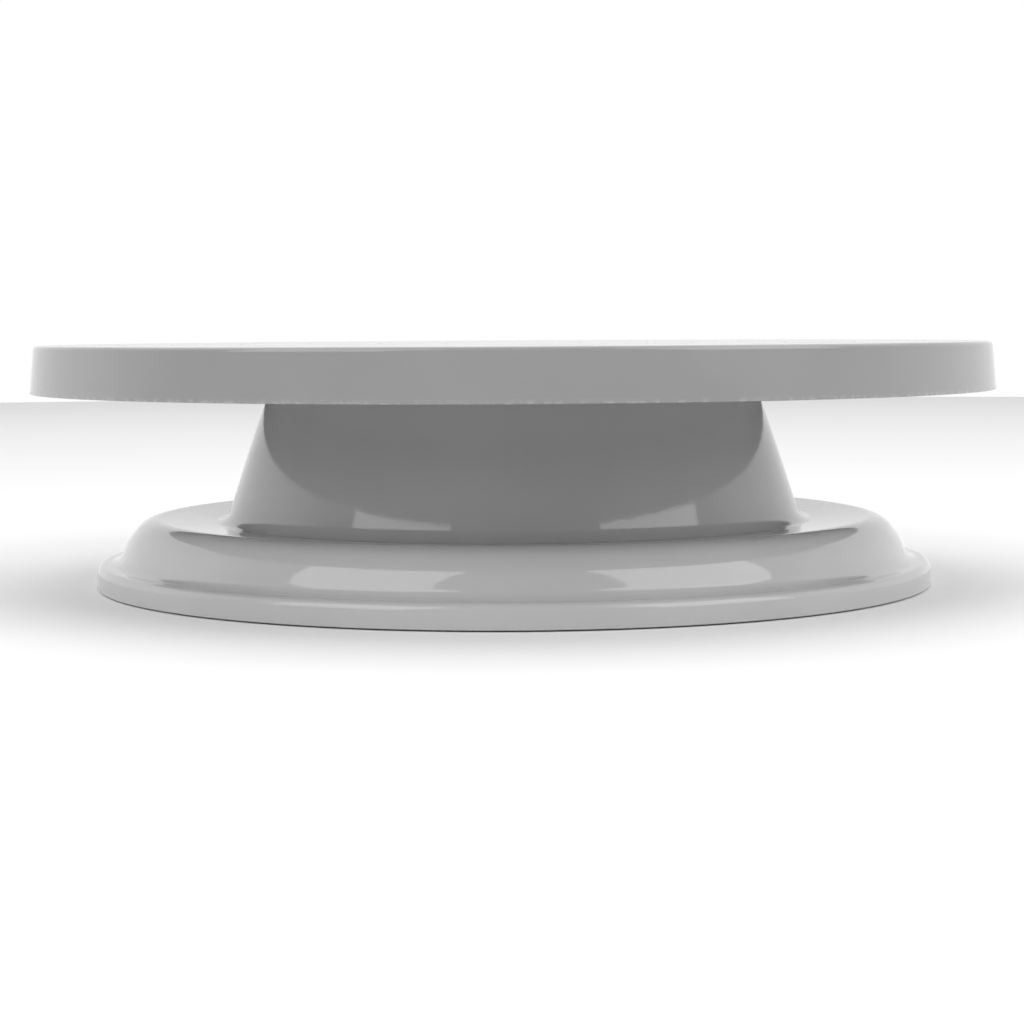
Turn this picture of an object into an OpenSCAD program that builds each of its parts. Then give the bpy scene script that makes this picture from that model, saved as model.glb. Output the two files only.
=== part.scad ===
// Cake-decorating lazy susan: a round plate that spins on a caged ball race above a flared pedestal.
// Origin on the table, on the axis of rotation. +Z is up. Millimetres.

/* [Overall] */
// Height from the table to the top of the plate
overall_height = 70; // [62:0.5:100]

/* [Plate] */
// Diameter of the plate at the bottom of its skirt
plate_diameter = 280; // [250:1:340]
// Height of the plate with its skirt
plate_height = 13.6; // [11:0.1:20]
// How far the skirt leans in towards the top, on the radius
skirt_draft = 1.2; // [0:0.1:2.4]
// Wall of the skirt
skirt_wall = 2.2; // [1.5:0.1:3]
// Thickness of the plate's top
plate_top = 2.6; // [2:0.1:4]
// Rounding of the plate's top edge
plate_round = 1.2; // [0.3:0.1:2]
// Spacing of the ring lines on the plate, on the radius
line_pitch = 20; // [10:1:40]
// Distance of the last ring line from the plate's edge
line_margin = 7; // [4:0.5:12]
// Width of a ring line
line_width = 0.8; // [0.4:0.1:1.5]
// Depth of a ring line
line_depth = 0.3; // [0.1:0.05:0.6]
// Number of long stiffening ribs under the plate
plate_ribs = 12; // [6:1:24]
// Depth of the ribs under the plate
plate_rib_depth = 4; // [2:0.5:5]

/* [Pedestal] */
// Diameter of the base rim
base_diameter = 244.2; // [234:0.2:300]
// Height of the base rim
rim_height = 7; // [5:0.1:9]
// Rounding of the rim's top edge
rim_round = 2.2; // [0.5:0.1:4]
// Width of the ledge on top of the rim
ledge_width = 6.4; // [2:0.1:7]
// Rise of the ledge from the rim to the crease
ledge_rise = 0.2; // [0:0.1:1]
// Fillet in the crease between the ledge and the flange
crease_round = 4.5; // [0.3:0.1:4.5]
// How far the knee, where the flange's side leans in more, stands in from the crease
knee_inset = 2.8; // [1:0.1:4]
// Height of the knee
knee_height = 14.2; // [12:0.1:15]
// Rounding of the knee
knee_round = 19; // [4:0.5:24]
// Diameter of the shoulder where the flange turns down
shoulder_diameter = 215.2; // [200:0.2:216]
// Height of the shoulder
shoulder_height = 20; // [17:0.1:26]
// Rounding of the shoulder
shoulder_round = 8; // [4:0.5:16]
// Diameter at the foot of the cone
cone_foot_diameter = 169.2; // [155:0.2:180]
// Fall of the flange from the shoulder to the foot of the cone
flange_fall = 1.7; // [0:0.1:3]
// Fillet at the foot of the cone
cone_foot_round = 4.5; // [2:0.5:10]
// Diameter of the neck at its top
neck_diameter = 142; // [130:0.2:152]
// Rounding of the neck's top edge
neck_round = 1.5; // [0.5:0.1:3]
// Wall of the pedestal
pedestal_wall = 2.4; // [1.6:0.1:3.2]
// Thickness of the deck that closes the neck
deck_thickness = 3.4; // [2.6:0.1:5]
// Number of ribs under the deck
deck_ribs = 8; // [4:1:12]
// Depth of the ribs under the deck
deck_rib_depth = 11; // [4:0.5:16]
// Number of ribs under the flange
flange_ribs = 12; // [6:6:24]
// Height of the bottom edge of the ribs under the flange
flange_rib_bottom = 9; // [6:0.5:12]

/* [Ball race] */
// Diameter of the circle that the balls run on
track_diameter = 108; // [90:1:120]
// Diameter of a ball
ball_diameter = 6; // [5:0.5:7]
// Number of balls
ball_count = 12; // [8:1:16]
// Play of a ball between the two races, on each side
ball_play = 0.03; // [0.02:0.01:0.06]
// Width of a race
race_width = 12; // [10:0.5:14]
// Thickness of a race
race_thickness = 2; // [1.6:0.1:3]
// Metal left under the groove of a race
race_web = 0.6; // [0.4:0.1:1]
// Radius of the groove as a multiple of the ball's radius
groove_ratio = 1.04; // [1.02:0.01:1.1]
// Depth to which a race is let into its seat
race_seat_depth = 0.8; // [0.4:0.1:1.2]
// Width of the wall around a race seat
race_seat_wall = 2; // [1.2:0.1:3]
// Width of the ball retainer
retainer_width = 10.4; // [8:0.2:11]
// Thickness of the ball retainer
retainer_thickness = 1.8; // [1.2:0.1:2]
// Play of a ball in its pocket, on the radius
pocket_play = 0.15; // [0.05:0.05:0.3]

/* [Pivot] */
// Diameter of the pivot bolt's shoulder
pivot_diameter = 10; // [8:0.5:14]
// Running clearance of the pivot, on the radius
running_fit = 0.05; // [0.03:0.01:0.1]
// Diameter of the bolt's thread
thread_diameter = 8; // [5:0.5:8]
// Length of the bolt's thread
thread_length = 5; // [4:0.5:6]
// Wall of the hub bush
bush_wall = 2; // [1.2:0.1:3]
// Length of the hub bush in the hub
bush_length = 20; // [14:0.5:22]
// Width of the bush's collar beyond its sleeve
collar_width = 3; // [2:0.5:4]
// Thickness of the bush's collar
collar_thickness = 1.5; // [1:0.1:2.5]
// Thickness of the thrust washer
washer_thickness = 1.2; // [0.8:0.1:2]
// How far the washer stands out past the collar and the bolt's head
washer_overhang = 1; // [0.5:0.5:2]
// End play between the washer and the collar
end_play = 0.1; // [0.05:0.05:0.3]
// Height of the bolt's head
head_height = 5; // [4:0.5:7]
// Width of the bolt's head beyond its shoulder, on the radius
head_step = 4; // [3:0.5:5]
// Width across the flats of the socket in the bolt's head
key_width = 6; // [4:0.5:8]
// Depth of the socket in the bolt's head
key_depth = 3; // [2:0.5:4]
// Wall of the threaded insert
insert_wall = 2.5; // [2:0.1:4]
// Height of the threaded insert
insert_height = 6; // [5:0.5:7]
// Wall of the plate's hub around the insert
plate_hub_wall = 5.5; // [3:0.5:8]
// Height of the gap between the deck and the plate's hub
hub_gap = 1.6; // [0.8:0.1:3]

/* [Hub cap and feet] */
// Space around the thrust washer inside the hub
head_space = 2.5; // [1:0.5:5]
// Wall of the hub below the bush
hub_wall = 3.2; // [2:0.1:5]
// Depth of the cap's spigot in the hub
cap_spigot = 3; // [2:0.5:5]
// Wall of the cap
cap_wall = 1.4; // [1:0.1:2]
// Number of rubber feet
foot_count = 6; // [3:1:6]
// Diameter of a rubber foot
foot_diameter = 13; // [8:0.5:14]
// Height of a rubber foot
foot_height = 3.4; // [2.6:0.1:6]
// Rounding of a foot's bottom edge
foot_round = 0.8; // [0.2:0.1:1.2]
// Height of the base rim above the table
rim_gap = 0.4; // [0.3:0.1:1.2]
// Depth to which a foot is let into its post
foot_socket_depth = 1.8; // [1:0.1:2.4]
// Wall of a post around its foot
post_wall = 1.6; // [1.2:0.1:2.5]
// Diameter of the circle that the feet stand on
foot_circle = 206; // [190:1:212]

/* [Fits and walls] */
// Gap around a piece that is pressed or glued into its seat, on the radius
seat_gap = 0.05; // [0.02:0.01:0.1]
// Thickness of a moulded rib
rib = 1.8; // [1.2:0.1:2.4]

/* [Hidden] */
$fn = 120;
// Longest step of an arc in a profile, in degrees
arc_step = 8;
// Overshoot of a cut beyond the face it opens, and overlap of two shapes of one piece
cut = 1;
// Least rounding of an inside corner
least_round = 0.3;
plastic_white = [0.93, 0.93, 0.92];
nylon_grey = [0.72, 0.73, 0.72];
acetal_cream = [0.88, 0.86, 0.78];
steel_grey = [0.62, 0.64, 0.66];
brass_yellow = [0.78, 0.64, 0.32];
rubber_black = [0.14, 0.14, 0.15];

// Radii of the main circles
plate_radius = plate_diameter / 2;
track_radius = track_diameter / 2;
ball_radius = ball_diameter / 2;
groove_radius = ball_radius * groove_ratio;
pivot_radius = pivot_diameter / 2;
thread_radius = thread_diameter / 2;
bush_bore = pivot_radius + running_fit;
bush_radius = bush_bore + bush_wall;
hub_bore = bush_radius + seat_gap;
collar_radius = bush_radius + collar_width;
head_radius = pivot_radius + head_step;
washer_radius = max(collar_radius, head_radius) + washer_overhang;
hub_space = washer_radius + head_space;
hub_radius = hub_space + hub_wall;
insert_radius = thread_radius + insert_wall;
insert_hole = insert_radius + seat_gap;
plate_hub_radius = insert_hole + plate_hub_wall;
foot_radius = foot_diameter / 2;
post_radius = foot_radius + seat_gap + post_wall;

// Heights, from the top of the plate down through the ball race
skirt_bottom = overall_height - plate_height;
plate_under = overall_height - plate_top;
upper_seat = plate_under - race_seat_depth;
upper_land = upper_seat - race_seat_depth;
ball_height = upper_seat - race_web - ball_play - ball_radius;
lower_seat = ball_height - ball_radius - ball_play - race_web;
deck_top = lower_seat + race_seat_depth;
deck_under = deck_top - deck_thickness;

// Heights, down along the pivot
plate_hub_bottom = deck_top + hub_gap;
insert_top = plate_hub_bottom + insert_height;
collar_top = deck_top - bush_length;
washer_top = collar_top - collar_thickness - end_play;
head_top = washer_top - washer_thickness;
head_bottom = head_top - head_height;
hub_bottom = head_bottom - end_play - cap_spigot;

// Outline of the pedestal, from the rim up and in to the axis, as [radius, height, rounding]
crease_radius = base_diameter / 2 - ledge_width;
pedestal_outline = [
    [base_diameter / 2, rim_gap, 0],
    [base_diameter / 2, rim_height, rim_round],
    [crease_radius, rim_height + ledge_rise, crease_round],
    [crease_radius - knee_inset, knee_height, knee_round],
    [shoulder_diameter / 2, shoulder_height, shoulder_round],
    [cone_foot_diameter / 2, shoulder_height - flange_fall, cone_foot_round],
    [neck_diameter / 2, deck_top, neck_round],
    [0, deck_top, 0]];

function xy(corner) = [corner[0], corner[1]];
function unit(v) = v / norm(v);
function left_of(a, b) = let (u = unit(b - a)) [-u[1], u[0]];
function reversed(list) = [for (i = [len(list) - 1:-1:0]) list[i]];

// Arc that rounds the corner q between p and s, kept inside the two sides
function corner_arc(p, q, s, rounding) =
    let (u = unit(p - q), v = unit(s - q), half = acos(u * v) / 2,
         room = 0.48 * min(norm(p - q), norm(s - q)),
         r = min(rounding, room * tan(half)),
         centre = q + unit(u + v) * r / sin(half),
         first = q + u * r / tan(half) - centre,
         last = q + v * r / tan(half) - centre,
         start = atan2(first[1], first[0]),
         turn = atan2(cross(first, last), first * last),
         steps = ceil(abs(turn) / arc_step))
    [for (i = [0:steps]) let (a = start + turn * i / steps) centre + r * [cos(a), sin(a)]];

// Points of an open outline of [x, y, rounding] corners
function rounded(path) = [
    for (i = [0:len(path) - 1])
        each (path[i][2] > 0
            ? corner_arc(xy(path[i - 1]), xy(path[i]), xy(path[i + 1]), path[i][2])
            : [xy(path[i])])];

// The outline moved to its left by a wall, with its roundings kept concentric
function inset(path, wall) =
    let (last = len(path) - 1)
    [for (i = [0:last])
        let (before = left_of(xy(path[max(i, 1) - 1]), xy(path[max(i, 1)])),
             after = left_of(xy(path[min(i, last - 1)]), xy(path[min(i, last - 1) + 1])),
             moved = xy(path[i]) + wall * (before + after) / (1 + before * after),
             bend = sign(cross(before, after)))
        [moved[0], moved[1], path[i][2] > 0 ? max(path[i][2] - bend * wall, least_round) : 0]];

module ring(inner, outer, bottom, height) {
    rotate_extrude() translate([inner, bottom]) square([outer - inner, height]);
}

module disc(radius, bottom, height) {
    translate([0, 0, bottom]) cylinder(r = radius, h = height);
}

// Flat upright ribs that stand out from the axis
module rib_fan(count, first_angle, inner, outer, bottom, top, thickness) {
    for (i = [0:count - 1])
        rotate([0, 0, first_angle + 360 * i / count])
            translate([inner, -thickness / 2, bottom])
                cube([outer - inner, thickness, top - bottom]);
}

module on_foot_circle(i) {
    rotate([0, 0, 360 * (i - 0.5) / foot_count]) translate([foot_circle / 2, 0, 0]) children();
}

// Plate

module plate_shell() {
    outside = [[plate_radius, skirt_bottom, 0],
               [plate_radius - skirt_draft, overall_height, plate_round],
               [0, overall_height, 0]];
    inside = [[plate_radius - skirt_wall, skirt_bottom, 0],
              [plate_radius - skirt_draft - skirt_wall, plate_under, skirt_wall / 2],
              [0, plate_under, 0]];
    rotate_extrude() polygon(concat(rounded(outside), reversed(rounded(inside))));
}

module plate_stiffeners() {
    sunk = plate_under + plate_top / 2;
    rib_bottom = plate_under - plate_rib_depth;
    land = race_width / 2 + seat_gap + race_seat_wall;
    skirt_middle = plate_radius - skirt_draft - skirt_wall / 2;
    rib_fan(plate_ribs, 0, track_radius + land / 2, skirt_middle, rib_bottom, sunk, rib);
    rib_fan(plate_ribs / 2, 0, insert_hole + plate_hub_wall / 2, track_radius - land + rib,
            rib_bottom, sunk, rib);
    span = plate_radius - track_radius - land;
    for (share = [1, 2])
        ring(track_radius + land + span * share / 3 - rib / 2,
             track_radius + land + span * share / 3 + rib / 2, rib_bottom, sunk - rib_bottom);
    ring(track_radius - land, track_radius + land, upper_land, sunk - upper_land);
    disc(plate_hub_radius, plate_hub_bottom, sunk - plate_hub_bottom);
}

module ring_lines() {
    last_line = plate_radius - skirt_draft - line_margin;
    for (r = [line_pitch:line_pitch:last_line - line_margin])
        ring(r - line_width / 2, r + line_width / 2, overall_height - line_depth, cut);
    ring(last_line - line_width / 2, last_line + line_width / 2, overall_height - line_depth, cut);
}

module turntable_plate() {
    seat_half = race_width / 2 + seat_gap;
    color(plastic_white) difference() {
        union() {
            plate_shell();
            plate_stiffeners();
        }
        ring_lines();
        ring(track_radius - seat_half, track_radius + seat_half, upper_land - plate_rib_depth,
             upper_seat - upper_land + plate_rib_depth);
        disc(insert_hole, plate_hub_bottom - cut, insert_height + cut);
    }
}

// Ball race

// One race, with its groove opening towards the balls. side is 1 above the balls and -1 below.
module race(side) {
    near = ball_radius + ball_play + race_web - race_thickness;
    groove_centre = ball_radius + ball_play - groove_radius;
    bottom = side > 0 ? near : -near - race_thickness;
    rotate_extrude() translate([track_radius, ball_height]) difference() {
        translate([-race_width / 2, bottom]) square([race_width, race_thickness]);
        translate([0, side * groove_centre]) circle(r = groove_radius);
    }
}

module upper_race() { color(steel_grey) race(1); }

module lower_race() { color(steel_grey) race(-1); }

module ball_place(i) {
    rotate([0, 0, 360 * (i - 1) / ball_count]) translate([track_radius, 0, ball_height]) children();
}

module ball_retainer() {
    color(nylon_grey) difference() {
        ring(track_radius - retainer_width / 2, track_radius + retainer_width / 2,
             ball_height - retainer_thickness / 2, retainer_thickness);
        for (i = [1:ball_count])
            ball_place(i) cylinder(r = ball_radius + pocket_play, h = ball_diameter, center = true);
    }
}

module bearing_ball(i) { color(steel_grey) ball_place(i) sphere(r = ball_radius); }

// Pivot

module threaded_insert() {
    color(brass_yellow) ring(thread_radius, insert_radius, plate_hub_bottom, insert_height);
}

module pivot_bolt() {
    color(steel_grey) difference() {
        union() {
            disc(head_radius, head_bottom, head_height);
            disc(pivot_radius, head_top - cut, plate_hub_bottom - head_top + cut);
            disc(thread_radius - seat_gap, plate_hub_bottom - cut, thread_length + cut);
        }
        translate([0, 0, head_bottom - cut])
            cylinder(d = key_width / cos(30), h = key_depth + cut, $fn = 6);
    }
}

module thrust_washer() {
    color(steel_grey) ring(bush_bore, washer_radius, head_top, washer_thickness);
}

module hub_bush() {
    color(acetal_cream) {
        ring(bush_bore, bush_radius, collar_top - cut, bush_length + cut);
        ring(bush_bore, collar_radius, collar_top - collar_thickness, collar_thickness);
    }
}

module hub_cap() {
    spigot_radius = hub_space - seat_gap;
    color(plastic_white) {
        disc(hub_radius, hub_bottom - cap_wall, cap_wall);
        ring(spigot_radius - cap_wall, spigot_radius, hub_bottom - cap_wall / 2,
             cap_spigot + cap_wall / 2);
    }
}

// Pedestal

module pedestal_wall_shape() {
    inner = inset(pedestal_outline, pedestal_wall);
    last = len(inner) - 1;
    neck = inner[last - 1];
    slope = unit(xy(neck) - xy(inner[last - 2]));
    // The deck is thicker than the wall, so the inside ends lower down the same cone
    neck_under = xy(neck) - slope * (neck[1] - deck_under) / slope[1];
    inside = concat([for (i = [0:last - 2]) inner[i]],
                    [[neck_under[0], neck_under[1], neck_round], [0, deck_under, 0]]);
    floor_in = [[inside[0][0], rim_gap, 0]];
    rotate_extrude() polygon(concat(
        rounded(pedestal_outline),
        reversed(rounded(concat(floor_in, [for (i = [1:len(inside) - 1]) inside[i]])))));
}

// Everything out to the middle of the pedestal's wall, which trims the ribs and the posts
module pedestal_core() {
    middle = inset(pedestal_outline, pedestal_wall / 2);
    rotate_extrude() polygon(concat([[0, 0], [middle[0][0], 0]], rounded(middle)));
}

module pedestal_inside() {
    intersection() {
        pedestal_core();
        union() {
            disc(hub_radius, hub_bottom, deck_top - hub_bottom);
            rib_fan(deck_ribs, 0, hub_space + hub_wall / 2, cone_foot_diameter / 2,
                    deck_under - deck_rib_depth, deck_top, rib);
            rib_fan(flange_ribs, 0, cone_foot_diameter / 2 - pedestal_wall, base_diameter / 2,
                    flange_rib_bottom, shoulder_height, rib);
            for (i = [1:foot_count])
                on_foot_circle(i) disc(post_radius, foot_height - foot_socket_depth, shoulder_height);
        }
    }
}

module pedestal_shell() {
    seat_half = race_width / 2 + seat_gap;
    color(plastic_white) difference() {
        union() {
            pedestal_wall_shape();
            pedestal_inside();
        }
        ring(track_radius - seat_half, track_radius + seat_half, lower_seat, race_seat_depth + cut);
        disc(hub_bore, collar_top - cut, bush_length + 2 * cut);
        disc(hub_space, hub_bottom - cut, collar_top - hub_bottom + cut);
        for (i = [1:foot_count])
            on_foot_circle(i) disc(foot_radius + seat_gap, -cut, foot_height + cut);
    }
}

module rubber_foot(i) {
    side = [[0, 0, 0], [foot_radius, 0, foot_round], [foot_radius, foot_height, 0], [0, foot_height, 0]];
    color(rubber_black) on_foot_circle(i) rotate_extrude() polygon(rounded(side));
}

turntable_plate();
upper_race();
threaded_insert();
pivot_bolt();
thrust_washer();
ball_retainer();
pedestal_shell();
lower_race();
hub_bush();
hub_cap();
for (i = [1:foot_count])
    rubber_foot(i);
for (i = [1:ball_count])
    bearing_ball(i);
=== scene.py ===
import math
import bpy
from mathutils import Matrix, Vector


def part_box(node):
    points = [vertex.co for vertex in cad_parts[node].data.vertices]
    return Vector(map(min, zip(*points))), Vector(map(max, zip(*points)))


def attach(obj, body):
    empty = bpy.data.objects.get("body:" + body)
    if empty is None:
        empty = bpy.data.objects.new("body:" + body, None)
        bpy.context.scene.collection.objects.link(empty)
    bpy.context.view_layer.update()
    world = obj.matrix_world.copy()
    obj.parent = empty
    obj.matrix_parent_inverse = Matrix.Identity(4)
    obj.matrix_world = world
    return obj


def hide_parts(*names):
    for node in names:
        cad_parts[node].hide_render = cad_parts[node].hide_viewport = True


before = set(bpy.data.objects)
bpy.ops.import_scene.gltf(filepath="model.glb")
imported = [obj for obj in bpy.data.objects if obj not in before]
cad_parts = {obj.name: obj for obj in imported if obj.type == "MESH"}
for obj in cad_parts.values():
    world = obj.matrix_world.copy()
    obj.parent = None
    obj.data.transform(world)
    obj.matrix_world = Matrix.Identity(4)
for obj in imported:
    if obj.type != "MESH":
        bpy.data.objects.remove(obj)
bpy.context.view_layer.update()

mm = 0.001


def deselectAll():
    if bpy.context.object and bpy.context.object.mode != "OBJECT":
        bpy.ops.object.mode_set(mode="OBJECT")
    bpy.ops.object.select_all(action="DESELECT")


def pick(*pieces):
    deselectAll()
    for piece in pieces:
        piece.select_set(True)
    bpy.context.view_layer.objects.active = pieces[0]


def settle(piece, name=None):
    # puts the piece's place, turn and size into its mesh
    pick(piece)
    bpy.ops.object.transform_apply(location=True, rotation=True, scale=True)
    if name:
        piece.name = name
        piece.data.name = name
    return piece


def openMesh(piece):
    pick(piece)
    bpy.ops.object.mode_set(mode="EDIT")
    bpy.ops.mesh.select_mode(type="VERT")


def closeMesh():
    bpy.ops.object.mode_set(mode="OBJECT")


def selectWhere(piece, test, what="VERT"):
    # selects, in edit mode, what passes a test on its middle and its normal or direction
    bpy.ops.mesh.select_mode(type=what)
    bpy.ops.mesh.select_all(action="DESELECT")
    bpy.ops.object.mode_set(mode="OBJECT")
    mesh = piece.data
    if what == "VERT":
        for vertex in mesh.vertices:
            vertex.select = test(vertex.co, vertex.normal)
    elif what == "EDGE":
        for edge in mesh.edges:
            a, b = (mesh.vertices[i].co for i in edge.vertices)
            edge.select = test((a + b) / 2, (b - a).normalized())
    else:
        for face in mesh.polygons:
            face.select = test(face.center, face.normal)
    bpy.ops.object.mode_set(mode="EDIT")


def copyTurned(piece, angle, name=None):
    twin = piece.copy()
    twin.data = piece.data.copy()
    bpy.context.scene.collection.objects.link(twin)
    twin.rotation_euler = (0, 0, angle)
    return settle(twin, name)


def joinInto(piece, others):
    pick(piece, *others)
    bpy.ops.object.join()
    return piece


def finishModifier(piece, kind, **settings):
    pick(piece)
    bpy.ops.object.modifier_add(type=kind)
    modifier = piece.modifiers[-1]
    for key, value in settings.items():
        setattr(modifier, key, value)
    bpy.ops.object.modifier_apply(modifier=modifier.name)


def smoothed(piece, sharpAngle=32):
    # smooth shading with true flats: broad faces keep their own normal next to a small rounding
    pick(piece)
    bpy.ops.object.shade_smooth_by_angle(angle=math.radians(sharpAngle))
    finishModifier(piece, "WEIGHTED_NORMAL", keep_sharp=True, weight=60)
    return piece


def arcOutline(corners, stepDegrees=5):
    # (radius, height, rounding) corners to plain (radius, height) points, with each rounding as a true arc
    points = []
    for i, (r, z, rounding) in enumerate(corners):
        corner = Vector((r, z))
        if not rounding:
            points.append(corner)
            continue
        before = Vector(corners[i - 1][:2]) - corner
        after = Vector(corners[(i + 1) % len(corners)][:2]) - corner
        u, v = before.normalized(), after.normalized()
        half = u.angle(v) / 2
        rounding = min(rounding, 0.48 * min(before.length, after.length) * math.tan(half))
        middle = corner + (u + v).normalized() * rounding / math.sin(half)
        first = corner + u * rounding / math.tan(half) - middle
        last = corner + v * rounding / math.tan(half) - middle
        turn = math.atan2(first.x * last.y - first.y * last.x, first.dot(last))
        start = math.atan2(first.y, first.x)
        steps = max(2, math.ceil(abs(turn) / math.radians(stepDegrees)))
        for k in range(steps + 1):
            a = start + turn * k / steps
            points.append(middle + rounding * Vector((math.cos(a), math.sin(a))))
    return points


def turned(name, corners, steps=192, stepDegrees=6, closed=True):
    # a vertex is drawn out along the outline by extruding, and the outline is spun round the axis
    points = arcOutline(corners, stepDegrees)
    deselectAll()
    bpy.ops.mesh.primitive_plane_add(size=mm, location=(points[0].x, 0, points[0].y))
    piece = settle(bpy.context.object, name)
    openMesh(piece)
    bpy.ops.mesh.select_all(action="SELECT")
    bpy.ops.mesh.merge(type="CENTER")
    for a, b in zip(points, points[1:]):
        bpy.ops.mesh.extrude_region_move(
            TRANSFORM_OT_translate={"value": (b.x - a.x, 0, b.y - a.y)})
    if closed:
        bpy.ops.mesh.extrude_region_move(TRANSFORM_OT_translate={
            "value": (points[0].x - points[-1].x, 0, points[0].y - points[-1].y)})
    bpy.ops.mesh.select_all(action="SELECT")
    bpy.ops.mesh.remove_doubles(threshold=0.002 * mm)
    bpy.ops.mesh.select_all(action="SELECT")
    bpy.ops.mesh.spin(steps=steps, angle=2 * math.pi, center=(0, 0, 0), axis=(0, 0, 1))
    bpy.ops.mesh.select_all(action="SELECT")
    bpy.ops.mesh.remove_doubles(threshold=0.002 * mm)
    bpy.ops.mesh.select_all(action="SELECT")
    bpy.ops.mesh.normals_make_consistent(inside=False)
    closeMesh()
    return piece


def bar(name, low, high, rounding=0.3 * mm):
    # an upright moulded rib between two corners, with soft edges
    deselectAll()
    middle = [(a + b) / 2 for a, b in zip(low, high)]
    bpy.ops.mesh.primitive_cube_add(size=1, location=middle, scale=[b - a for a, b in zip(low, high)])
    piece = settle(bpy.context.object, name)
    openMesh(piece)
    bpy.ops.mesh.select_all(action="SELECT")
    bpy.ops.mesh.bevel(offset=rounding, segments=3, affect="EDGES")
    closeMesh()
    return piece


def fan(piece, count, first=0.0):
    # the piece repeated round the axis; the first copy is the piece itself
    twins = [copyTurned(piece, first + 2 * math.pi * i / count) for i in range(count)]
    bpy.data.objects.remove(piece)
    return joinInto(twins[0], twins[1:])


def insetOutline(corners, wall):
    # the open outline moved to its left by a wall, with concentric roundings, as a moulder draws a shell
    moved = []
    last = len(corners) - 1
    for i, (r, z, rounding) in enumerate(corners):
        sides = []
        for k in (max(i, 1) - 1, min(i, last - 1)):
            run = (Vector(corners[k + 1][:2]) - Vector(corners[k][:2])).normalized()
            sides.append(Vector((-run.y, run.x)))
        step = wall * (sides[0] + sides[1]) / (1 + sides[0].dot(sides[1]))
        bend = sides[0].x * sides[1].y - sides[0].y * sides[1].x
        inner = rounding - math.copysign(wall, bend) if rounding else 0
        moved.append((r + step.x, z + step.y, max(inner, 0.3 * mm) if rounding else 0))
    return moved


def web(name, outline, thickness, rounding=0.25 * mm):
    # a flat rib cut to an outline of (radius, height) points, standing on the XZ plane
    deselectAll()
    first = outline[0]
    bpy.ops.mesh.primitive_plane_add(size=mm, location=(first[0], -thickness / 2, first[1]))
    piece = settle(bpy.context.object, name)
    openMesh(piece)
    bpy.ops.mesh.select_all(action="SELECT")
    bpy.ops.mesh.merge(type="CENTER")
    for a, b in zip(outline, outline[1:]):
        bpy.ops.mesh.extrude_region_move(
            TRANSFORM_OT_translate={"value": (b[0] - a[0], 0, b[1] - a[1])})
    bpy.ops.mesh.select_all(action="SELECT")
    bpy.ops.mesh.edge_face_add()
    bpy.ops.mesh.extrude_region_move(TRANSFORM_OT_translate={"value": (0, thickness, 0)})
    bpy.ops.mesh.select_all(action="SELECT")
    bpy.ops.mesh.normals_make_consistent(inside=False)
    lowest = min(z for r, z in outline)
    selectWhere(piece, lambda middle, along: abs(middle.z - lowest) < 0.01 * mm, "EDGE")
    bpy.ops.mesh.bevel(offset=rounding, segments=3, affect="EDGES")
    closeMesh()
    return piece


class Signal:
    # one socket of a finish; arithmetic on it adds Math nodes
    def __init__(self, finish, socket):
        self.finish = finish
        self.socket = socket

    def maths(self, operation, first, second):
        return self.finish.node("ShaderNodeMath", {"operation": operation}, {0: first, 1: second})

    def __add__(self, other):
        return self.maths("ADD", self, other)

    def __radd__(self, other):
        return self.maths("ADD", other, self)

    def __sub__(self, other):
        return self.maths("SUBTRACT", self, other)

    def __rsub__(self, other):
        return self.maths("SUBTRACT", other, self)

    def __mul__(self, other):
        return self.maths("MULTIPLY", self, other)

    def __rmul__(self, other):
        return self.maths("MULTIPLY", other, self)

    def __pow__(self, other):
        return self.maths("POWER", self, other)


class Finish:
    # a material built on one Principled shader; constant values sit on the shader's own sockets
    def __init__(self, name, **constants):
        self.material = bpy.data.materials.new(name)
        self.material.use_nodes = True
        self.tree = self.material.node_tree
        self.shader = next(n for n in self.tree.nodes if n.type == "BSDF_PRINCIPLED")
        for key, value in constants.items():
            self.shader.inputs[key.replace("_", " ")].default_value = value
        self.place = self.node("ShaderNodeTexCoord", {}, {}, "Object")

    def node(self, kind, settings, values, output=0):
        made = self.tree.nodes.new(kind)
        for key, value in settings.items():
            setattr(made, key, value)
        for key, value in values.items():
            socket = made.inputs[key]
            if isinstance(value, Signal):
                self.tree.links.new(value.socket, socket)
            else:
                socket.default_value = value
        return Signal(self, made.outputs[output])

    def feed(self, name, signal):
        self.tree.links.new(signal.socket, self.shader.inputs[name])

    def noise(self, size, detail=3.0, roughness=0.5, place=None):
        # soft mottling with marks about one size across, in metres
        return self.node("ShaderNodeTexNoise", {}, {
            "Vector": place or self.place, "Scale": 1 / size, "Detail": detail, "Roughness": roughness})

    def between(self, signal, low, high):
        # 0 below low, 1 above high, and a soft step from one to the other
        return self.node("ShaderNodeMapRange", {"clamp": True, "interpolation_type": "SMOOTHSTEP"}, {
            "Value": signal, "From Min": low, "From Max": high})

    def axes(self):
        split = self.tree.nodes.new("ShaderNodeSeparateXYZ")
        self.tree.links.new(self.place.socket, split.inputs[0])
        return [Signal(self, socket) for socket in split.outputs]

    def blend(self, factor, first, second):
        return self.node("ShaderNodeMix", {"data_type": "RGBA"}, {0: factor, 6: first, 7: second}, 2)

    def relief(self, height, depth, below=None):
        values = {"Height": height, "Distance": depth, "Strength": 1.0}
        if below:
            values["Normal"] = below
        return self.node("ShaderNodeBump", {}, values, "Normal")


def grey(level):
    return (level, level, level, 1.0)


def paint(piece, finish):
    piece.data.materials.clear()
    piece.data.materials.append(finish.material)


print("finishes")


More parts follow.
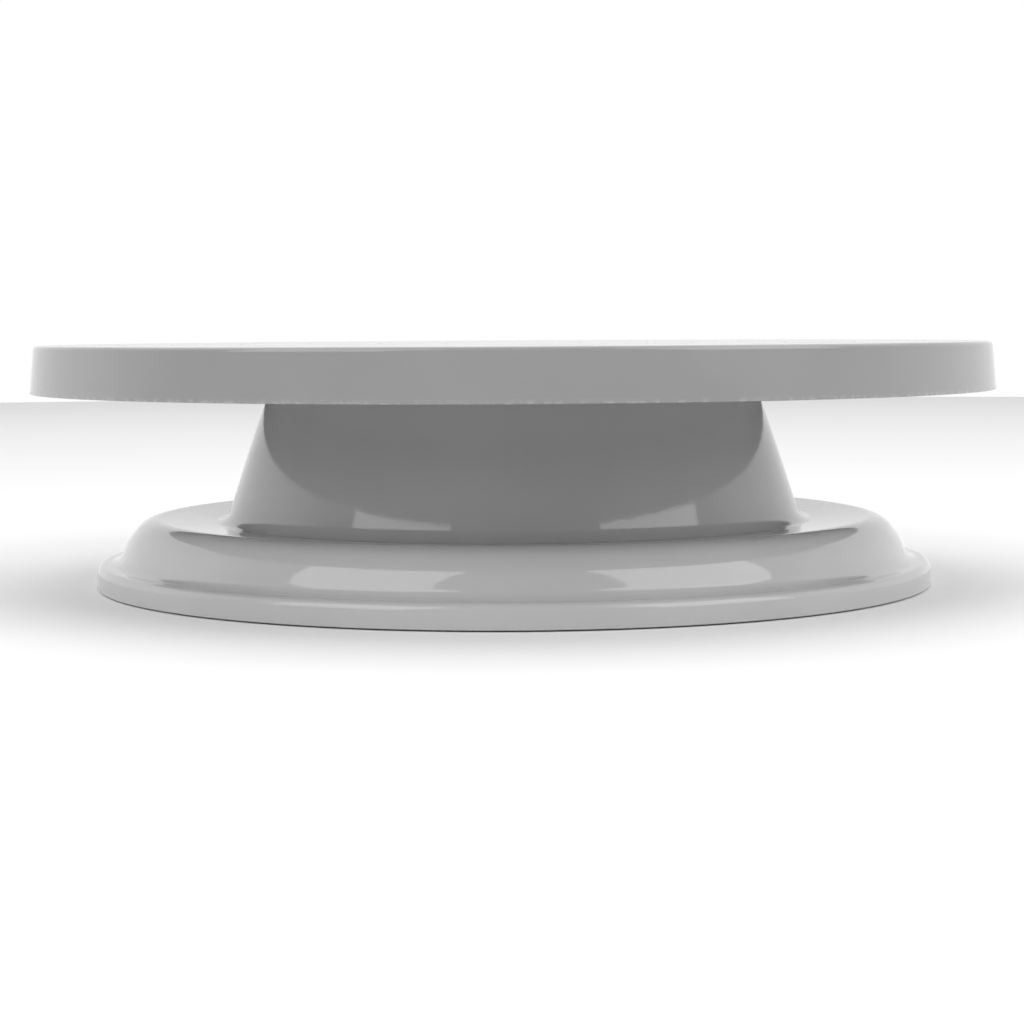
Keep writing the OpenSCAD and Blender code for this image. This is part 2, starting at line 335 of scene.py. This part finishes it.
def whitePlasticFinish(name, white, scuffBelow, scuffTop=0.0, ringScuffs=False):
    # glossy moulded plastic: faint cloudiness, a trace of orange peel, smudges, dust and edge scuffs; the
    # white level passed in differs from part to part as painted light and shade on one and the same white
    # plastic
    look = {"cloud": 0.94, "gloss": 0.05, "smudge": 0.06, "peel": 0.010 * mm, "marks": 0.002 * mm}
    finish = Finish(name, IOR=1.49, Specular_IOR_Level=0.5)
    x, y, z = finish.axes()
    cloud = finish.noise(55 * mm, 4.0)
    smudges = finish.between(finish.noise(24 * mm, 5.0, 0.6), 0.52, 0.72)
    peel = finish.noise(1.6 * mm, 2.0)
    dust = finish.between(finish.noise(0.9 * mm, 1.0), 0.80, 0.86)
    scuff = 1 - finish.between(z, scuffBelow, scuffBelow + 1.6 * mm)
    scuff = scuff * finish.between(finish.noise(2.2 * mm, 4.0, 0.7), 0.42, 0.62)
    tone = finish.blend(finish.between(cloud, 0.35, 0.65), grey(white), grey(white * look["cloud"]))
    tone = finish.blend(dust * 0.35, tone, grey(0.42))
    tone = finish.blend(scuff * 0.25, tone, grey(0.55))
    gloss = look["gloss"] + smudges * look["smudge"] + peel * 0.03 + scuff * 0.25
    surface = finish.relief(peel, look["peel"])
    if ringScuffs:
        # fine circular marks that knives and palettes leave while the plate turns
        radius = (x * x + y * y) ** 0.5
        turn = finish.node("ShaderNodeCombineXYZ", {}, {0: radius * 60, 1: x * 0.5, 2: y * 0.5})
        marks = finish.noise(30 * mm, 6.0, 0.75, turn)
        fine = finish.between(marks, 0.48, 0.66) * finish.between(z, scuffTop - 0.5 * mm, scuffTop)
        gloss = gloss + fine * 0.06
        surface = finish.relief(fine, look["marks"], surface)
    finish.feed("Base Color", tone)
    finish.feed("Roughness", gloss)
    finish.feed("Normal", surface)
    return finish


def turnedMetalFinish(name, light, dark, roughness, lineSize=0.25 * mm, tint=(1, 1, 1)):
    # metal turned on a lathe: fine concentric lines, cloudy tone and small bright scratches
    finish = Finish(name, Metallic=1.0)
    x, y, z = finish.axes()
    radius = (x * x + y * y) ** 0.5
    lines = finish.node("ShaderNodeCombineXYZ", {}, {0: radius, 1: z, 2: x * 0.01})
    lathe = finish.noise(lineSize, 3.0, 0.6, lines)
    cloud = finish.noise(7 * mm, 4.0)
    scratches = finish.between(finish.noise(1.2 * mm, 6.0, 0.8), 0.62, 0.70)
    lightTone = tuple(light * c for c in tint) + (1.0,)
    darkTone = tuple(dark * c for c in tint) + (1.0,)
    tone = finish.blend(finish.between(cloud * 0.6 + lathe * 0.4, 0.35, 0.65), lightTone, darkTone)
    finish.feed("Base Color", tone)
    finish.feed("Roughness", roughness + lathe * 0.12 + scratches * 0.10)
    finish.feed("Normal", finish.relief(lathe, 0.006 * mm))
    return finish


def polishedBallFinish():
    finish = Finish("polished bearing steel", Metallic=1.0)
    cloud = finish.noise(2.5 * mm, 3.0)
    hairlines = finish.between(finish.noise(0.35 * mm, 6.0, 0.85), 0.60, 0.66)
    finish.feed("Base Color", finish.blend(cloud, grey(0.74), grey(0.66)))
    finish.feed("Roughness", 0.06 + hairlines * 0.16 + cloud * 0.03)
    finish.feed("Normal", finish.relief(hairlines, 0.001 * mm))
    return finish


def dullPlasticFinish(name, light, dark, roughness):
    # sliding plastics such as nylon and acetal: waxy, with a fine tool texture
    finish = Finish(name, IOR=1.48)
    cloud = finish.noise(9 * mm, 4.0)
    grain = finish.noise(0.5 * mm, 3.0, 0.6)
    rub = finish.between(finish.noise(3.0 * mm, 5.0, 0.7), 0.50, 0.68)
    finish.feed("Base Color", finish.blend(finish.between(cloud, 0.35, 0.65), light, dark))
    finish.feed("Roughness", roughness + grain * 0.12 - rub * 0.10)
    finish.feed("Normal", finish.relief(grain, 0.012 * mm))
    return finish


def rubberFinish():
    # black rubber with a moulded matt skin, grey where it rubs, and lint held on it
    finish = Finish("black rubber", IOR=1.5, Specular_IOR_Level=0.35)
    x, y, z = finish.axes()
    grain = finish.noise(0.35 * mm, 4.0, 0.7)
    worn = 1 - finish.between(z, 0, 0.9 * mm)
    worn = worn * finish.between(finish.noise(2.0 * mm, 4.0, 0.65), 0.40, 0.66)
    lint = finish.between(finish.noise(0.8 * mm, 2.0), 0.70, 0.76)
    tone = finish.blend(worn * 0.6, grey(0.018), grey(0.075))
    tone = finish.blend(lint * 0.5, tone, grey(0.22))
    finish.feed("Base Color", tone)
    finish.feed("Roughness", 0.62 + grain * 0.20 - worn * 0.08)
    finish.feed("Normal", finish.relief(grain, 0.03 * mm))
    return finish


print("plate")
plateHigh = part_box("turntable_plate")[1]
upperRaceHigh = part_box("upper_race")[1]
ballLow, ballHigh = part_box("bearing_ball_1")
insertLow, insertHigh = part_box("threaded_insert")
ballRadius = (ballHigh.z - ballLow.z) / 2
ballHeight = (ballHigh.z + ballLow.z) / 2
trackRadius = (ballHigh.x + ballLow.x) / 2
raceHalf = upperRaceHigh.x - trackRadius
seatGap = 0.05 * mm
ribThickness = 1.8 * mm

plate = {
    # the plate's white is painted darker than the pedestal's: painted light, the same white plastic toned
    # down where more light falls on it
    "white": 0.31, "radius": plateHigh.x, "top": plateHigh.z,
    "skirtBottom": plateHigh.z - 13.6 * mm, "draft": 1.2 * mm, "wall": 2.2 * mm,
    "thickness": 2.6 * mm, "edgeRound": 1.2 * mm, "lipRound": 0.35 * mm,
    "linePitch": 20 * mm, "lineMargin": 7 * mm, "lineWidth": 0.8 * mm, "lineDepth": 0.3 * mm,
    "ribs": 12, "ribDepth": 4 * mm, "seatDepth": 0.8 * mm, "seatWall": 2 * mm, "hubWall": 5.5 * mm,
}


def ringLine(radius, top, width, depth):
    # one shallow line turned into the plate, as outline corners from the axis outwards
    soft, lean = 0.12 * mm, 0.1 * mm
    return [(radius - width / 2, top, soft), (radius - width / 2 + lean, top - depth, soft),
            (radius + width / 2 - lean, top - depth, soft), (radius + width / 2, top, soft)]


def makePlate():
    p = plate
    under = p["top"] - p["thickness"]
    edge = p["radius"] - p["draft"]
    lastLine = edge - p["lineMargin"]
    outline = [(0, p["top"], 0)]
    radius = p["linePitch"]
    while radius <= lastLine - p["lineMargin"]:
        outline += ringLine(radius, p["top"], p["lineWidth"], p["lineDepth"])
        radius += p["linePitch"]
    outline += ringLine(lastLine, p["top"], p["lineWidth"], p["lineDepth"])
    outline += [
        (edge, p["top"], p["edgeRound"]),
        (p["radius"], p["skirtBottom"], p["lipRound"]),
        (p["radius"] - p["wall"], p["skirtBottom"], p["lipRound"]),
        (edge - p["wall"], under, p["wall"] / 2),
        (0, under, 0)]
    shell = turned("plate_shell", outline, steps=256, stepDegrees=15, closed=False)

    ribBottom = under - p["ribDepth"]
    sunk = under + p["thickness"] / 2
    land = raceHalf + seatGap + p["seatWall"]
    hubHole = insertHigh.x + seatGap
    hubRadius = hubHole + p["hubWall"]
    skirtMiddle = edge - p["wall"] / 2
    longRib = bar("long_rib", (trackRadius + land - 0.4 * mm, -ribThickness / 2, ribBottom),
                  (skirtMiddle, ribThickness / 2, sunk))
    shortRib = bar("short_rib", (hubRadius - 0.4 * mm, -ribThickness / 2, ribBottom),
                   (trackRadius - land + 0.4 * mm, ribThickness / 2, sunk))
    parts = [fan(longRib, p["ribs"]), fan(shortRib, p["ribs"] // 2)]
    span = p["radius"] - trackRadius - land
    for share in (1, 2):
        middle = trackRadius + land + span * share / 3
        parts.append(turned("ring_rib", [
            (middle - ribThickness / 2, sunk, 0), (middle - ribThickness / 2, ribBottom, 0.3 * mm),
            (middle + ribThickness / 2, ribBottom, 0.3 * mm), (middle + ribThickness / 2, sunk, 0)]))
    seat = upperRaceHigh.z
    seatHalf = raceHalf + seatGap
    landBottom = seat - p["seatDepth"]
    parts.append(turned("race_land", [
        (trackRadius - land, sunk, 0), (trackRadius - land, landBottom, 0.3 * mm),
        (trackRadius - seatHalf, landBottom, 0.2 * mm), (trackRadius - seatHalf, seat, 0.1 * mm),
        (trackRadius + seatHalf, seat, 0.1 * mm), (trackRadius + seatHalf, landBottom, 0.2 * mm),
        (trackRadius + land, landBottom, 0.3 * mm), (trackRadius + land, sunk, 0)]))
    parts.append(turned("plate_hub", [
        (hubRadius, sunk, 0), (hubRadius, insertLow.z, 0.6 * mm), (hubHole, insertLow.z, 0.3 * mm),
        (hubHole, insertHigh.z, 0.2 * mm), (0, insertHigh.z, 0), (0, sunk, 0)], closed=False))
    whole = joinInto(shell, parts)
    whole.name = "turntable_plate_moulding"
    smoothed(whole)
    # painted light: the plate's plastic is given a darker white than the pedestal's, standing in for the
    # light on it
    finish = whitePlasticFinish("white plastic of the plate, painted darker as painted light", p["white"], p["skirtBottom"], p["top"], True)
    paint(whole, finish)
    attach(whole, "plate")
    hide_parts("turntable_plate")


makePlate()


print("pedestal")
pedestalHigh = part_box("pedestal_shell")[1]
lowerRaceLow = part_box("lower_race")[0]
capLow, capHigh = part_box("hub_cap")
bushLow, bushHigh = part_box("hub_bush")
footLow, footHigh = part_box("rubber_foot_1")
footRadius = (footHigh.x - footLow.x) / 2
footMiddle = Vector(((footHigh.x + footLow.x) / 2, (footHigh.y + footLow.y) / 2))

pedestal = {
    # the pedestal's white is painted lighter than the plate's: painted light, the same white plastic lifted
    # to make up for the shade under the plate
    "white": 0.50, "radius": pedestalHigh.x, "rimBottom": 0.4 * mm, "rimHeight": 7 * mm, "rimRound": 2.2 * mm,
    "ledge": 6.4 * mm, "ledgeRise": 0.2 * mm, "creaseRound": 4.5 * mm,
    "kneeInset": 2.8 * mm, "kneeHeight": 14.2 * mm, "kneeRound": 19 * mm,
    "shoulderRadius": 107.6 * mm, "shoulderHeight": 20 * mm, "shoulderRound": 8 * mm,
    "footRadius": 84.6 * mm, "flangeFall": 1.7 * mm, "footRound": 4.5 * mm,
    "neckRadius": 71 * mm, "neckRound": 1.5 * mm, "wall": 2.4 * mm, "deck": 3.4 * mm,
    "deckRibs": 8, "deckRibDepth": 11 * mm, "flangeRibs": 12, "flangeRibBottom": 9 * mm,
    "hubWall": 3.2 * mm, "bushHole": 7.1 * mm, "collarDrop": 20 * mm, "capWall": 1.4 * mm,
    "feet": 6, "footSocket": 1.8 * mm, "postWall": 1.6 * mm, "seatDepth": 0.8 * mm, "lip": 0.3 * mm,
}


def pedestalOutline():
    p = pedestal
    deckTop = lowerRaceLow.z + p["seatDepth"]
    return [
        (p["radius"], p["rimBottom"], 0),
        (p["radius"], p["rimHeight"], p["rimRound"]),
        (p["radius"] - p["ledge"], p["rimHeight"] + p["ledgeRise"], p["creaseRound"]),
        (p["radius"] - p["ledge"] - p["kneeInset"], p["kneeHeight"], p["kneeRound"]),
        (p["shoulderRadius"], p["shoulderHeight"], p["shoulderRound"]),
        (p["footRadius"], p["shoulderHeight"] - p["flangeFall"], p["footRound"]),
        (p["neckRadius"], deckTop, p["neckRound"]),
        (0, deckTop, 0)]


def makePedestal():
    p = pedestal
    outside = pedestalOutline()
    deckTop = outside[-1][1]
    deckUnder = deckTop - p["deck"]
    inside = insetOutline(outside, p["wall"])
    middle = insetOutline(outside, p["wall"] / 2)
    neck, foot = Vector(inside[-2][:2]), Vector(inside[-3][:2])
    slope = (neck - foot) / (neck.y - foot.y)
    neckUnder = neck - slope * (neck.y - deckUnder)
    seatHalf = raceHalf + seatGap
    hubRadius = capHigh.x
    hubSpace = hubRadius - p["hubWall"]
    hubBottom = capLow.z + p["capWall"]
    collarTop = bushHigh.z - p["collarDrop"]
    outline = [(p["radius"], p["rimBottom"], p["lip"])] + outside[1:-1] + [
        (trackRadius + seatHalf, deckTop, 0.15 * mm), (trackRadius + seatHalf, lowerRaceLow.z, 0.1 * mm),
        (trackRadius - seatHalf, lowerRaceLow.z, 0.1 * mm), (trackRadius - seatHalf, deckTop, 0.15 * mm),
        (p["bushHole"], deckTop, 0.2 * mm), (p["bushHole"], collarTop, 0.1 * mm),
        (hubSpace, collarTop, 0.6 * mm), (hubSpace, hubBottom, 0.3 * mm),
        (hubRadius, hubBottom, 0.5 * mm), (hubRadius, deckUnder, 1.2 * mm),
        (neckUnder.x, deckUnder, p["neckRound"])]
    outline += list(reversed(inside[1:-2])) + [(inside[0][0], p["rimBottom"], p["lip"])]
    shell = turned("pedestal_wall", outline, steps=256)

    wallMiddle = arcOutline(middle)
    ribTop, ribBottom = deckUnder + p["deck"] / 2, deckUnder - p["deckRibDepth"]
    coneFoot, coneTop = Vector(middle[-3][:2]), Vector(middle[-2][:2])

    def coneAt(height):
        return coneFoot.x + (coneTop.x - coneFoot.x) * (height - coneFoot.y) / (coneTop.y - coneFoot.y)

    deckRib = web("deck_rib", [
        (hubRadius - 0.5 * mm, ribTop), (hubRadius - 0.5 * mm, ribBottom),
        (coneAt(ribBottom), ribBottom), (coneAt(ribTop), ribTop)], ribThickness)
    parts = [fan(deckRib, p["deckRibs"])]

    start = p["footRadius"] - p["wall"]
    under = [q for q in wallMiddle if q.x > start and p["flangeRibBottom"] < q.y < p["shoulderHeight"]]
    flangeRib = web("flange_rib", [(start, p["flangeRibBottom"])] +
                    [(under[0].x, p["flangeRibBottom"])] + [(q.x, q.y) for q in under], ribThickness)
    parts.append(fan(flangeRib, p["flangeRibs"]))
    parts.append(makePosts())
    whole = joinInto(shell, parts)
    whole.name = "pedestal_moulding"
    smoothed(whole)
    # painted light: the pedestal's plastic is given a lighter white than the plate's, standing in for the
    # shade the plate casts on it
    finish = whitePlasticFinish("glossy white plastic, pedestal", p["white"], p["rimBottom"])
    paint(whole, finish)
    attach(whole, "base")
    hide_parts("pedestal_shell")


def makePosts():
    # a round post for each foot, cut at the top to stay inside the flange's wall
    p = pedestal
    hole = footRadius + seatGap
    radius = hole + p["postWall"]
    bottom = footHigh.z - p["footSocket"]
    post = turned("foot_post", [
        (0, footHigh.z, 0), (hole, footHigh.z, 0.2 * mm),
        (hole, bottom, 0.2 * mm), (radius, bottom, 0.4 * mm),
        (radius, p["shoulderHeight"], 0), (0, p["shoulderHeight"], 0)],
        steps=48, stepDegrees=15, closed=False)
    ring = footMiddle.length
    post.location = (ring, 0, 0)
    settle(post)
    wallHalf = p["wall"] / 2
    level = p["shoulderHeight"] - p["flangeFall"] - wallHalf + 0.1 * mm
    knee, shoulder = (Vector((r, 0, z)) for r, z, rounding in pedestalOutline()[3:5])
    outward = Vector((shoulder.z - knee.z, 0, knee.x - shoulder.x)).normalized()
    for place, normal in (((0, 0, level), (0, 0, 1)), (shoulder - outward * wallHalf, outward)):
        openMesh(post)
        bpy.ops.mesh.select_all(action="SELECT")
        bpy.ops.mesh.bisect(plane_co=place, plane_no=normal, clear_outer=True, use_fill=True)
        closeMesh()
    return fan(post, p["feet"], math.atan2(footMiddle.y, footMiddle.x))


makePedestal()


print("feet and cap")


def makeFeet():
    size = {"round": 0.8 * mm, "topRound": 0.3 * mm, "dish": 0.15 * mm, "dishRadius": 0.45}
    rubber = rubberFinish()
    outline = [
        (0, size["dish"], 0), (footRadius * size["dishRadius"], size["dish"], 0.3 * mm),
        (footRadius * (size["dishRadius"] + 0.1), 0, 0.3 * mm), (footRadius, 0, size["round"]),
        (footRadius, footHigh.z, size["topRound"]), (0, footHigh.z, 0)]
    first = turned("foot_pattern", outline, steps=72, closed=False)
    for i in range(pedestal["feet"]):
        foot = first.copy()
        foot.data = first.data.copy()
        bpy.context.scene.collection.objects.link(foot)
        low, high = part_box(f"rubber_foot_{i + 1}")
        foot.location = ((low.x + high.x) / 2, (low.y + high.y) / 2, 0)
        settle(foot, f"foot_{i + 1}_rubber")
        smoothed(foot)
        paint(foot, rubber)
        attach(foot, "base")
        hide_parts(f"rubber_foot_{i + 1}")
    bpy.data.objects.remove(first)


def makeHubCap():
    # the cap takes the pedestal's painted-lighter white: painted light on the same white plastic, against the
    # shade under the plate
    size = {"white": 0.50, "wall": pedestal["capWall"],
            "dish": 0.4 * mm, "dishRadius": 10 * mm, "rimWidth": 1 * mm}
    top = capHigh.z
    flange = capLow.z + size["wall"]
    spigot = capHigh.x - pedestal["hubWall"] - seatGap
    outline = [
        (0, flange, 0), (spigot - size["wall"], flange, 0.4 * mm), (spigot - size["wall"], top, 0.2 * mm),
        (spigot, top, 0.4 * mm), (spigot, flange, 0.2 * mm), (capHigh.x, flange, 0.2 * mm),
        (capHigh.x, capLow.z, 0.6 * mm), (size["dishRadius"] + size["rimWidth"], capLow.z, 0.3 * mm),
        (size["dishRadius"], capLow.z + size["dish"], 0.3 * mm), (0, capLow.z + size["dish"], 0)]
    cap = turned("hub_cap_moulding", outline, steps=128, closed=False)
    smoothed(cap)
    paint(cap, whitePlasticFinish("white plastic of the cap, painted lighter as painted light", size["white"], capLow.z))
    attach(cap, "base")
    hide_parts("hub_cap")


makeFeet()
makeHubCap()


print("ball race")


def makeRace(name, node, side, steel):
    # side is 1 above the balls and -1 below; the groove opens towards the balls
    size = {"web": 0.6 * mm, "grooveRatio": 1.04, "edge": 0.25 * mm, "play": 0.03 * mm}
    low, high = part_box(node)
    back, front = (high.z, low.z) if side > 0 else (low.z, high.z)
    groove = ballRadius * size["grooveRatio"]
    middle = ballHeight + side * (ballRadius + size["play"] - groove)
    half = math.acos(abs(front - middle) / groove)
    arc = []
    steps = 16
    for k in range(steps + 1):
        a = half * (1 - 2 * k / steps)
        arc.append((trackRadius + groove * math.sin(a), middle + side * groove * math.cos(a), 0))
    arc[0] = (*arc[0][:2], 0.08 * mm)
    arc[-1] = (*arc[-1][:2], 0.08 * mm)
    outer, inner = high.x, 2 * trackRadius - high.x
    outline = [(inner, back, size["edge"]), (outer, back, size["edge"]), (outer, front, size["edge"])]
    outline += arc + [(inner, front, size["edge"])]
    race = turned(name, outline, steps=256)
    smoothed(race)
    paint(race, steel)
    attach(race, "plate" if side > 0 else "base")
    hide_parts(node)


def makeRetainer():
    # flat cage with a bored pocket for each ball
    size = {"play": 0.15 * mm, "edge": 0.35 * mm, "pocketEdge": 0.15 * mm}
    low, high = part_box("ball_retainer")
    inner, outer = 2 * trackRadius - high.x, high.x
    cage = turned("retainer_ring", [
        (inner, low.z, size["edge"]), (outer, low.z, size["edge"]),
        (outer, high.z, size["edge"]), (inner, high.z, size["edge"])], steps=240)
    ballNodes = sorted(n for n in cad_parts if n.startswith("bearing_ball_"))
    cutters = []
    for node in ballNodes:
        ballLowCorner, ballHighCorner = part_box(node)
        place = (ballLowCorner + ballHighCorner) / 2
        deselectAll()
        bpy.ops.mesh.primitive_cylinder_add(
            vertices=64, radius=ballRadius + size["play"], depth=2 * ballRadius, location=place)
        cutters.append(settle(bpy.context.object))
    cutter = joinInto(cutters[0], cutters[1:])
    finishModifier(cage, "BOOLEAN", operation="DIFFERENCE", solver="EXACT", object=cutter)
    bpy.data.objects.remove(cutter)
    finishModifier(cage, "BEVEL", width=size["pocketEdge"], segments=2, limit_method="ANGLE",
                   angle_limit=math.radians(50))
    smoothed(cage, 40)
    paint(cage, dullPlasticFinish("grey nylon", grey(0.50), grey(0.42), 0.42))
    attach(cage, "retainer")
    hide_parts("ball_retainer")
    return ballNodes


def makeBalls(ballNodes):
    # half a circle spun round the axis gives the first ball; the others are copies in their pockets
    chrome = polishedBallFinish()
    steps = 24
    outline = []
    for k in range(steps + 1):
        a = math.pi * (k / steps - 0.5)
        outline.append((max(0, ballRadius * math.cos(a)), ballRadius * math.sin(a), 0))
    first = turned("ball_pattern", outline, steps=48, closed=False)
    for node in ballNodes:
        low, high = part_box(node)
        ball = first.copy()
        ball.data = first.data.copy()
        bpy.context.scene.collection.objects.link(ball)
        ball.location = (low + high) / 2
        number = node.rsplit("_", 1)[1]
        settle(ball, f"ball_{number}_steel")
        smoothed(ball, 60)
        paint(ball, chrome)
        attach(ball, f"ball_{number}")
        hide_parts(node)
    bpy.data.objects.remove(first)


raceSteel = turnedMetalFinish("turned race steel", 0.62, 0.50, 0.24)
makeRace("upper_race_steel", "upper_race", 1, raceSteel)
makeRace("lower_race_steel", "lower_race", -1, raceSteel)
makeBalls(makeRetainer())


print("pivot")
boltLow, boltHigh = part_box("pivot_bolt")
washerLow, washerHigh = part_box("thrust_washer")


def makeInsert():
    # brass insert with two knurled bands and a groove between them
    size = {"thread": 4 * mm, "pitch": 1.25 * mm, "lead": 0.5 * mm, "knurls": 36, "knurlDepth": 0.18 * mm,
            "groove": 1.0 * mm, "grooveDepth": 0.5 * mm}
    low, high, outer = insertLow.z, insertHigh.z, insertHigh.x
    middle = (low + high) / 2
    root = outer - size["knurlDepth"]
    outline = [
        (size["thread"] + size["lead"], low, 0), (outer, low, 0.3 * mm),
        (outer, middle - size["groove"] / 2, 0.1 * mm),
        (outer - size["grooveDepth"], middle - size["groove"] / 2, 0.1 * mm),
        (outer - size["grooveDepth"], middle + size["groove"] / 2, 0.1 * mm),
        (outer, middle + size["groove"] / 2, 0.1 * mm), (outer, high, 0.3 * mm),
        (size["thread"] + size["lead"], high, 0)]
    turns = int((high - low - 2 * size["lead"]) / size["pitch"])
    outline.append((size["thread"], high - size["lead"], 0))
    for k in range(turns):
        top = high - size["lead"] - k * size["pitch"]
        outline.append((size["thread"] + 0.5 * mm, top - size["pitch"] / 2, 0))
        outline.append((size["thread"], top - size["pitch"], 0))
    outline.append((size["thread"], low + size["lead"], 0))
    insert = turned("brass_insert", outline, steps=size["knurls"] * 4)
    spacing = 2 * math.pi / size["knurls"]
    openMesh(insert)
    selectWhere(insert, lambda co, normal: math.hypot(co.x, co.y) > outer - 0.02 * mm
                and (math.atan2(co.y, co.x) / spacing + 0.125) % 1 < 0.5, "VERT")
    shrink = root / outer
    bpy.ops.transform.resize(value=(shrink, shrink, 1), center_override=(0, 0, 0))
    closeMesh()
    smoothed(insert, 28)
    paint(insert, turnedMetalFinish("machined brass", 0.78, 0.62, 0.26, 0.2 * mm, (1.0, 0.78, 0.42)))
    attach(insert, "plate")
    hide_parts("threaded_insert")


def makeBolt():
    # shoulder bolt: hexagon socket in the head, ground shoulder, rolled thread
    size = {"head": 5 * mm, "shoulder": 5 * mm, "thread": 3.95 * mm, "pitch": 1.25 * mm,
            "threadDepth": 0.55 * mm, "key": 6 * mm, "keyDepth": 3 * mm, "neck": 0.35 * mm}
    low, high = boltLow.z, boltHigh.z
    headRadius = boltHigh.x
    shoulderTop = insertLow.z
    outline = [
        (0, low, 0), (headRadius, low, 0.7 * mm), (headRadius, low + size["head"], 0.35 * mm),
        (size["shoulder"], low + size["head"], 0.2 * mm), (size["shoulder"], shoulderTop, 0.35 * mm),
        (size["thread"] - size["neck"], shoulderTop, 0.15 * mm),
        (size["thread"] - size["neck"], shoulderTop + 0.5 * mm, 0)]
    turns = int((high - shoulderTop - 1.0 * mm) / size["pitch"])
    for k in range(turns):
        base = shoulderTop + 0.5 * mm + k * size["pitch"]
        outline.append((size["thread"], base + size["pitch"] / 2, 0.06 * mm))
        outline.append((size["thread"] - size["threadDepth"], base + size["pitch"], 0.06 * mm))
    outline += [(size["thread"] - 0.5 * mm, high, 0.1 * mm), (0, high, 0)]
    bolt = turned("shoulder_bolt", outline, steps=96, closed=False)
    deselectAll()
    bpy.ops.mesh.primitive_cylinder_add(
        vertices=6, radius=size["key"] / 2 / math.cos(math.pi / 6), depth=2 * size["keyDepth"],
        location=(0, 0, low))
    cutter = settle(bpy.context.object)
    finishModifier(bolt, "BOOLEAN", operation="DIFFERENCE", solver="EXACT", object=cutter)
    bpy.data.objects.remove(cutter)
    smoothed(bolt, 30)
    zinc = turnedMetalFinish("zinc plated steel", 0.70, 0.56, 0.22, 0.3 * mm, (0.98, 0.99, 1.0))
    paint(bolt, zinc)
    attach(bolt, "plate")
    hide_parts("pivot_bolt")


def makeWasher():
    # punched washer: rounded on the punch side, a small burr on the other
    size = {"hole": 5.05 * mm, "burrEdge": 0.12 * mm, "burrHole": 0.15 * mm,
            "punchedEdge": 0.35 * mm, "punchedHole": 0.3 * mm}
    outline = [
        (size["hole"], washerLow.z, size["burrHole"]), (washerHigh.x, washerLow.z, size["burrEdge"]),
        (washerHigh.x, washerHigh.z, size["punchedEdge"]), (size["hole"], washerHigh.z, size["punchedHole"])]
    washer = turned("punched_washer", outline, steps=128)
    smoothed(washer)
    paint(washer, turnedMetalFinish("washer steel", 0.60, 0.48, 0.30, 0.6 * mm))
    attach(washer, "plate")
    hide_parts("thrust_washer")


def makeBush():
    size = {"bore": 5.05 * mm, "sleeve": 7.05 * mm, "collar": 1.5 * mm, "lead": 0.5 * mm}
    collarTop = bushLow.z + size["collar"]
    outline = [
        (size["bore"], bushLow.z, size["lead"]), (bushHigh.x, bushLow.z, 0.3 * mm),
        (bushHigh.x, collarTop, 0.3 * mm),
        (size["sleeve"], collarTop, 0.1 * mm), (size["sleeve"], bushHigh.z, 0.6 * mm),
        (size["bore"], bushHigh.z, size["lead"])]
    bush = turned("acetal_bush", outline, steps=128)
    smoothed(bush)
    acetal = dullPlasticFinish("cream acetal", (0.74, 0.71, 0.60, 1), (0.68, 0.65, 0.54, 1), 0.30)
    paint(bush, acetal)
    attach(bush, "base")
    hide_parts("hub_bush")


makeInsert()
makeBolt()
makeWasher()
makeBush()


print("stage")


def makeFloor():
    deselectAll()
    bpy.ops.mesh.primitive_circle_add(vertices=128, radius=1.8, fill_type="NGON", location=(0, 0, 0))
    floor = settle(bpy.context.object, "studio_floor")
    pale = Finish("pale studio paper", IOR=1.45, Specular_IOR_Level=0.2)
    tone = pale.noise(0.6, 3.0)
    pale.feed("Base Color", pale.blend(tone, grey(0.86), grey(0.83)))
    pale.feed("Roughness", 0.75 + tone * 0.1)
    floor.data.materials.append(pale.material)


def makeSky():
    # pale all round, brightest behind the object, dim on the camera's side
    world = bpy.data.worlds.new("studio")
    bpy.context.scene.world = world
    world.use_nodes = True
    nodes, links = world.node_tree.nodes, world.node_tree.links
    sky = next(n for n in nodes if n.type == "BACKGROUND")
    direction = nodes.new("ShaderNodeTexCoord")
    split = nodes.new("ShaderNodeSeparateXYZ")
    fade = nodes.new("ShaderNodeMapRange")
    fade.interpolation_type = "SMOOTHSTEP"
    for key, value in studio["fade"].items():
        fade.inputs[key].default_value = value
    links.new(direction.outputs["Generated"], split.inputs[0])
    links.new(split.outputs["Y"], fade.inputs["Value"])
    links.new(fade.outputs[0], sky.inputs["Strength"])
    sky.inputs["Color"].default_value = grey(1.0)


def addPanel(name, place, target, width, height, power):
    light = bpy.data.lights.new(name, "AREA")
    light.shape = "RECTANGLE"
    light.size, light.size_y, light.energy = width, height, power
    panel = bpy.data.objects.new(name, light)
    panel.location = place
    panel.rotation_euler = (Vector(target) - Vector(place)).to_track_quat("-Z", "Y").to_euler()
    bpy.context.scene.collection.objects.link(panel)


studio = {
    "fade": {"From Min": -0.35, "From Max": 0.35, "To Min": 0.30, "To Max": 1.0},
    "overhead": {"place": (0, 0.60, 1.60), "size": (2.8, 1.6), "power": 10.5},
    "left": {"place": (-0.84, -0.78, 0.82), "size": (0.95, 1.12), "power": 8.4},
    "right": {"place": (0.98, -0.62, 0.82), "size": (1.02, 1.12), "power": 9.4},
}
makeFloor()
makeSky()
aim = (0, 0, 0.035)
for lamp in ("overhead", "left", "right"):
    part = studio[lamp]
    addPanel(lamp + "_panel", part["place"], aim, *part["size"], part["power"])

view = {"aside": -0.2 * mm, "distance": 0.680, "height": 0.0742, "pitch": 4.57, "roll": 0.32, "lens": 80.7}
camera = bpy.data.objects.new("camera", bpy.data.cameras.new("camera"))
camera.data.sensor_width = 36
camera.data.lens = view["lens"]
camera.data.clip_start = 0.01
camera.location = (view["aside"], -view["distance"], view["height"])
camera.rotation_euler = (math.radians(90 - view["pitch"]), math.radians(view["roll"]), 0)
bpy.context.scene.collection.objects.link(camera)
bpy.context.scene.camera = camera
bpy.context.scene.view_settings.view_transform = "Standard"

deselectAll()
